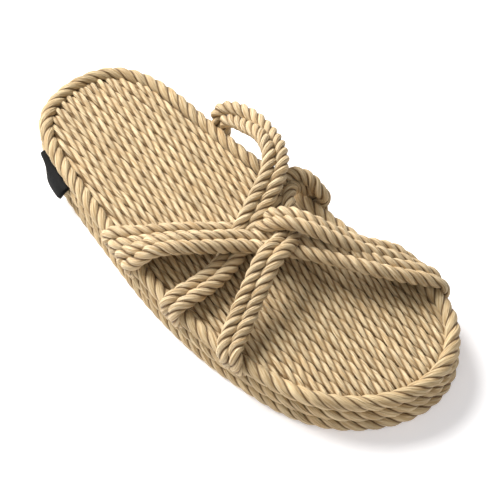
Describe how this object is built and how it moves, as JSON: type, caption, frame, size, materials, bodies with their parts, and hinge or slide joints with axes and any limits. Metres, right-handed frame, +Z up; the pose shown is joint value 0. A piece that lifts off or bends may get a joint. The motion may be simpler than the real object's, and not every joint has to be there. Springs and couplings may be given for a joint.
{
  "type": "rope sandal",
  "caption": "Right-foot slip-on sandal of twisted rope: woven doubled-rope straps over a laid-rope footbed and stacked rope rims, black side label.",
  "frame": {"origin": "centre of the bounding box, on the floor", "axes": "+Z up, -Y toward the toe, +X toward the medial (big toe) side of a right foot"},
  "size_m": [0.1106, 0.27, 0.0503],
  "materials": {
    "strap_rope": "twisted three-strand rope, satin fibres",
    "rim_rope": "twisted three-strand rope, satin fibres",
    "footbed_rope": "thin three-strand ropes laid side by side",
    "outsole_rope": "laid rope, pressed flat",
    "label_weave": "woven satin tape, matt black"
  },
  "bodies": {
    "root": {"upper_straps": "strap_rope", "rim_rope_top": "rim_rope", "rim_rope_middle": "rim_rope", "rim_rope_bottom": "rim_rope", "footbed_mat": "footbed_rope", "outsole_mat": "outsole_rope", "side_label": "label_weave"}
  },
  "joints": []
}
